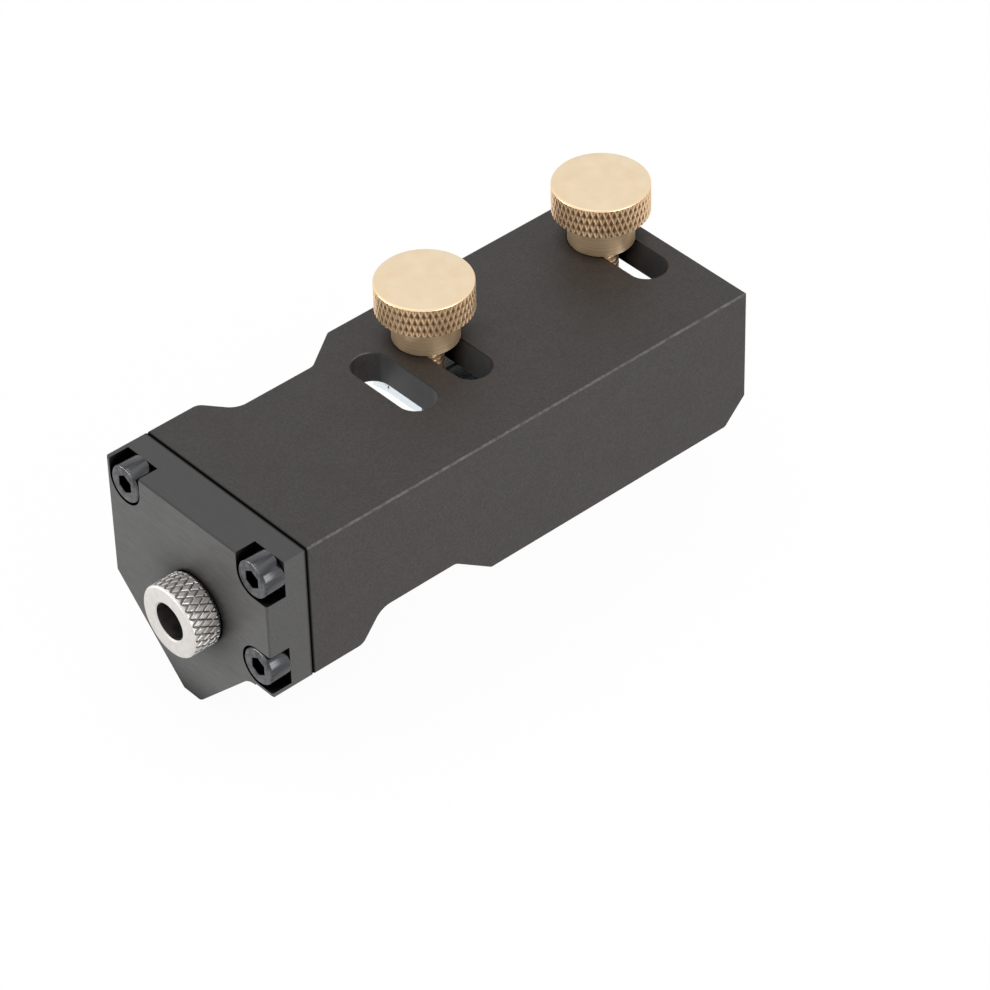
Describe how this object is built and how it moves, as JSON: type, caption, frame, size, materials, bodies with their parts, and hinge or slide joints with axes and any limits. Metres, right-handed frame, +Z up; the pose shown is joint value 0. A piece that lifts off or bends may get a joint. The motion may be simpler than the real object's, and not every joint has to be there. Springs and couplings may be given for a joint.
{
  "type": "tapping jig",
  "caption": "Angle-shaped jig that clamps along slotted square bar and guides a tap into its end hole through a knurled bushing, held by brass thumb screws.",
  "frame": {"origin": "on the bushing's axis, at the end plate's rear face that the bar stops against", "axes": "+X to the side flange, +Y back along the bar from the end plate, +Z up through the thumb screws"},
  "size_m": [0.0402, 0.1122, 0.0516],
  "materials": {
    "anodised": "black anodised, satin, fine blasted grain",
    "anodised_plate": "black anodised, satin, finely milled",
    "black_steel": "black oxide, lightly oiled",
    "bright_steel": "ground and polished, knurled head",
    "zinc_steel": "bright zinc plate with rolling lines",
    "brass": "turned, satin, knurled"
  },
  "bodies": {
    "body": {"body": "anodised", "end_plate": "anodised_plate", "cap_screw_left": "black_steel", "cap_screw_corner": "black_steel", "cap_screw_lower": "black_steel"},
    "bushing": {"drill_bushing": "bright_steel"},
    "clamp": {"clamp_strip": "zinc_steel"},
    "front_screw": {"front_thumb_screw": "brass"},
    "rear_screw": {"rear_thumb_screw": "brass"}
  },
  "joints": [
    {"name": "clamp_slide", "type": "slide", "parent": "body", "child": "clamp", "axis": [1, 0, 0], "range_m": [-0.0004, 0.0114]},
    {"name": "front_screw_turn", "type": "hinge", "parent": "clamp", "child": "front_screw", "pos_m": [-0.0098, 0.0498, 0.0185], "axis": [0, 0, 1], "continuous": true},
    {"name": "rear_screw_turn", "type": "hinge", "parent": "clamp", "child": "rear_screw", "pos_m": [-0.0098, 0.0894, 0.0185], "axis": [0, 0, 1], "continuous": true},
    {"name": "bushing_pull", "type": "slide", "parent": "body", "child": "bushing", "axis": [0, -1, 0], "range_m": [0, 0.0085]}
  ]
}
